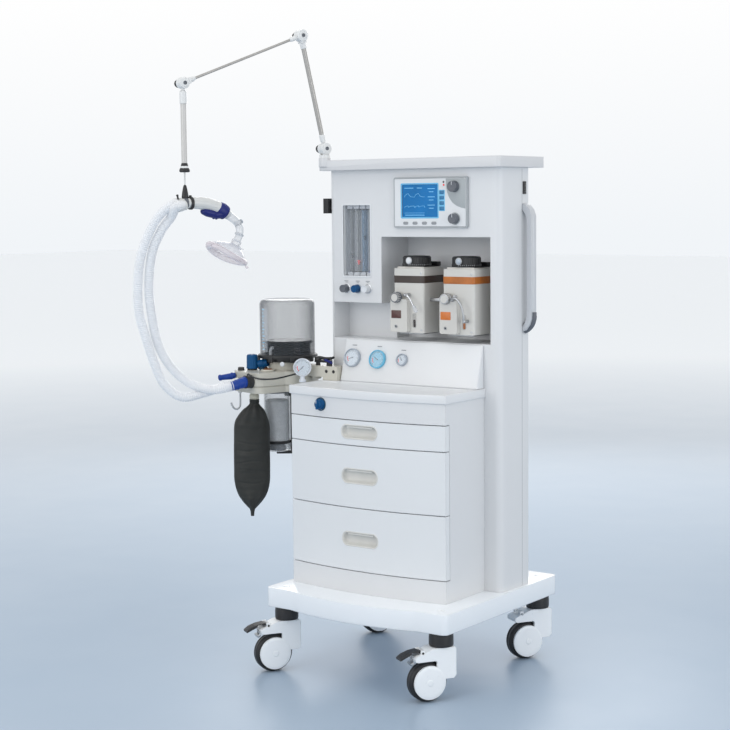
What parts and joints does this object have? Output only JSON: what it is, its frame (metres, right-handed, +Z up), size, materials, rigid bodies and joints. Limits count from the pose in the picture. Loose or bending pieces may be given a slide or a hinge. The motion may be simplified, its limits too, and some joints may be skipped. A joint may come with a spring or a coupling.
{
  "type": "anesthesia machine",
  "caption": "Mobile veterinary anesthesia machine: column with monitor, flow meters and vaporizers over a drawer unit, absorber with bellows at the side and a jointed hose arm.",
  "frame": {"origin": "on the floor, below the middle of the column's front face", "axes": "+Z up, -Y towards the operator, +X to the operator's right"},
  "size_m": [0.8834, 0.7326, 1.6665],
  "materials": {
    "paint_white": "fine textured powder coat, satin",
    "shell_plastic": "moulded, satin gloss",
    "drawer_plastic": "moulded, satin gloss",
    "caster_black": "fine texture",
    "caster_white": "moulded",
    "tyre": "smooth",
    "flow_tray": "satin",
    "clear_tube": "clear",
    "monitor_grey": "fine texture",
    "monitor_white": "printed membrane",
    "screen_glass": "lit display",
    "vapor_cream": "satin",
    "bright_metal": "polished",
    "handle_grey": "satin anodised",
    "black_plastic": "fine texture",
    "absorber_ivory": "satin",
    "clear_dome": "clear acrylic",
    "valve_amber": "translucent",
    "bag_rubber": "matt with sheen",
    "gauge_white": "moulded",
    "hose_clear": "translucent corrugated",
    "bellows_rubber": "matt",
    "dial_black": "ribbed",
    "teal_plastic": "moulded",
    "knob_grey": "ribbed",
    "knob_white": "ribbed",
    "arm_white": "smooth enamel",
    "hose_fitting": "moulded",
    "mask_clear": "clear vinyl, air cushion"
  },
  "bodies": {
    "root": {"base_plate": "paint_white", "caster_collars": "caster_black", "column_shell": "paint_white", "rear_panel": "paint_white", "top_shelf": "shell_plastic", "work_surface": "shell_plastic", "gauge_console": "shell_plastic", "drawer_cabinet": "paint_white", "flow_block": "flow_tray", "flow_tubes": "clear_tube", "monitor_housing": "monitor_grey", "monitor_fascia": "monitor_white", "screen": "screen_glass", "vaporizer_left": "vapor_cream", "vaporizer_right": "vapor_cream", "gauges": "bright_metal", "side_handle": "handle_grey", "side_fittings": "black_plastic", "absorber_arm": "absorber_ivory", "absorber_deck": "absorber_ivory", "bellows_base": "black_plastic", "bellows_dome": "clear_dome", "canister": "clear_dome", "valve_domes": "valve_amber", "deck_ports": "black_plastic", "reservoir_bag": "bag_rubber", "airway_gauge": "gauge_white", "breathing_hoses": "hose_clear", "rear_fittings": "bright_metal", "bellows": "bellows_rubber"},
    "drawer_top": {"drawer_top": "drawer_plastic"},
    "drawer_middle": {"drawer_middle": "drawer_plastic"},
    "drawer_bottom": {"drawer_bottom": "drawer_plastic"},
    "caster_fl": {"caster_fork_fl": "caster_white"},
    "wheel_fl": {"wheel_fl": "tyre"},
    "caster_fr": {"caster_fork_fr": "caster_white"},
    "wheel_fr": {"wheel_fr": "tyre"},
    "caster_bl": {"caster_fork_bl": "caster_white"},
    "wheel_bl": {"wheel_bl": "tyre"},
    "caster_br": {"caster_fork_br": "caster_white"},
    "wheel_br": {"wheel_br": "tyre"},
    "pedal_fl": {"brake_pedal_fl": "caster_black"},
    "pedal_fr": {"brake_pedal_fr": "caster_black"},
    "dial_left": {"dial_left": "dial_black"},
    "dial_right": {"dial_right": "dial_black"},
    "system_switch": {"system_switch": "teal_plastic"},
    "apl_knob": {"apl_knob": "teal_plastic"},
    "flow_knob_air": {"flow_knob_air": "knob_grey"},
    "flow_knob_oxygen": {"flow_knob_oxygen": "teal_plastic"},
    "flow_knob_nitrous": {"flow_knob_nitrous": "knob_white"},
    "monitor_knob_upper": {"monitor_knob_upper": "knob_grey"},
    "monitor_knob_lower": {"monitor_knob_lower": "knob_grey"},
    "arm_base": {"arm_base": "arm_white"},
    "lower_arm": {"lower_arm": "arm_white"},
    "upper_arm": {"upper_arm": "arm_white"},
    "drop_arm": {"drop_arm": "arm_white"},
    "patient_end": {"hose_hanger": "black_plastic", "y_piece": "hose_fitting", "face_mask": "mask_clear"},
    "bellows_top": {"bellows_top": "bellows_rubber"}
  },
  "joints": [
    {"name": "drawer_top_slide", "type": "slide", "parent": "root", "child": "drawer_top", "axis": [0, -1, 0], "range_m": [0, 0.2]},
    {"name": "drawer_middle_slide", "type": "slide", "parent": "root", "child": "drawer_middle", "axis": [0, -1, 0], "range_m": [0, 0.2]},
    {"name": "drawer_bottom_slide", "type": "slide", "parent": "root", "child": "drawer_bottom", "axis": [0, -1, 0], "range_m": [0, 0.2]},
    {"name": "swivel_fl", "type": "hinge", "parent": "root", "child": "caster_fl", "pos_m": [-0.2419, -0.2394, 0.12], "axis": [0, 0, 1], "continuous": true},
    {"name": "roll_fl", "type": "hinge", "parent": "caster_fl", "child": "wheel_fl", "pos_m": [-0.26289, -0.27286, 0.05], "axis": [-0.8471, 0.5314, 0], "continuous": true},
    {"name": "swivel_fr", "type": "hinge", "parent": "root", "child": "caster_fr", "pos_m": [0.2419, -0.2394, 0.12], "axis": [0, 0, 1], "continuous": true},
    {"name": "roll_fr", "type": "hinge", "parent": "caster_fr", "child": "wheel_fr", "pos_m": [0.22091, -0.27286, 0.05], "axis": [-0.8471, 0.5314, 0], "continuous": true},
    {"name": "swivel_bl", "type": "hinge", "parent": "root", "child": "caster_bl", "pos_m": [-0.2419, 0.2314, 0.12], "axis": [0, 0, 1], "continuous": true},
    {"name": "roll_bl", "type": "hinge", "parent": "caster_bl", "child": "wheel_bl", "pos_m": [-0.26289, 0.19794, 0.05], "axis": [-0.8471, 0.5314, 0], "continuous": true},
    {"name": "swivel_br", "type": "hinge", "parent": "root", "child": "caster_br", "pos_m": [0.2419, 0.2314, 0.12], "axis": [0, 0, 1], "continuous": true},
    {"name": "roll_br", "type": "hinge", "parent": "caster_br", "child": "wheel_br", "pos_m": [0.22091, 0.19794, 0.05], "axis": [-0.8471, 0.5314, 0], "continuous": true},
    {"name": "brake_fl", "type": "hinge", "parent": "caster_fl", "child": "pedal_fl", "pos_m": [-0.27219, -0.28769, 0.1245], "axis": [0.8471, -0.5314, 0], "range_deg": [0, 12]},
    {"name": "brake_fr", "type": "hinge", "parent": "caster_fr", "child": "pedal_fr", "pos_m": [0.21161, -0.28769, 0.1245], "axis": [0.8471, -0.5314, 0], "range_deg": [0, 12]},
    {"name": "dial_left_turn", "type": "hinge", "parent": "root", "child": "dial_left", "pos_m": [0.0025, 0.02, 1.06], "axis": [0, 0, 1], "range_deg": [0, 270]},
    {"name": "dial_right_turn", "type": "hinge", "parent": "root", "child": "dial_right", "pos_m": [0.1555, 0.02, 1.06], "axis": [0, 0, 1], "range_deg": [0, 270]},
    {"name": "system_switch_turn", "type": "hinge", "parent": "root", "child": "system_switch", "pos_m": [-0.152, -0.2, 0.702], "axis": [0, -1, 0], "range_deg": [-90, 0]},
    {"name": "apl_turn", "type": "hinge", "parent": "root", "child": "apl_knob", "pos_m": [-0.46559, -0.09509, 0.78], "axis": [0, 0, 1], "range_deg": [0, 270]},
    {"name": "flow_air_turn", "type": "hinge", "parent": "root", "child": "flow_knob_air", "pos_m": [-0.2125, -0.01, 0.99], "axis": [0, -1, 0], "range_deg": [-720, 0]},
    {"name": "flow_oxygen_turn", "type": "hinge", "parent": "root", "child": "flow_knob_oxygen", "pos_m": [-0.175, -0.01, 0.99], "axis": [0, -1, 0], "range_deg": [-720, 0]},
    {"name": "flow_nitrous_turn", "type": "hinge", "parent": "root", "child": "flow_knob_nitrous", "pos_m": [-0.142, -0.01, 0.99], "axis": [0, -1, 0], "range_deg": [-720, 0]},
    {"name": "menu_knob_turn", "type": "hinge", "parent": "root", "child": "monitor_knob_upper", "pos_m": [0.1385, -0.01, 1.2568], "axis": [0, -1, 0], "continuous": true},
    {"name": "volume_knob_turn", "type": "hinge", "parent": "root", "child": "monitor_knob_lower", "pos_m": [0.1393, -0.01, 1.1752], "axis": [0, -1, 0], "range_deg": [-270, 0]},
    {"name": "arm_swivel", "type": "hinge", "parent": "root", "child": "arm_base", "pos_m": [-0.265, -0.021, 1.34], "axis": [0, 0, 1], "range_deg": [-45, 45], "deforming": ["breathing_hoses"]},
    {"name": "arm_lower_tilt", "type": "hinge", "parent": "arm_base", "child": "lower_arm", "pos_m": [-0.265, -0.021, 1.3625], "axis": [0.9259, -0.3778, 0], "range_deg": [-15, 20], "deforming": ["breathing_hoses"]},
    {"name": "arm_upper_tilt", "type": "hinge", "parent": "lower_arm", "child": "upper_arm", "pos_m": [-0.29069, -0.08396, 1.6565], "axis": [0.9259, -0.3778, 0], "range_deg": [-20, 20], "deforming": ["breathing_hoses"]},
    {"name": "arm_drop_tilt", "type": "hinge", "parent": "upper_arm", "child": "drop_arm", "pos_m": [-0.42124, -0.40385, 1.5235], "axis": [-0.9259, 0.3778, 0], "range_deg": [-25, 25], "deforming": ["breathing_hoses"]},
    {"name": "hanger_swivel", "type": "hinge", "parent": "drop_arm", "child": "patient_end", "pos_m": [-0.42124, -0.40385, 1.29], "axis": [0, 0, 1], "range_deg": [-60, 60], "deforming": ["breathing_hoses"]},
    {"name": "bellows_rise", "type": "slide", "parent": "root", "child": "bellows_top", "axis": [0, 0, 1], "range_m": [0, 0.1], "deforming": ["bellows"]}
  ]
}
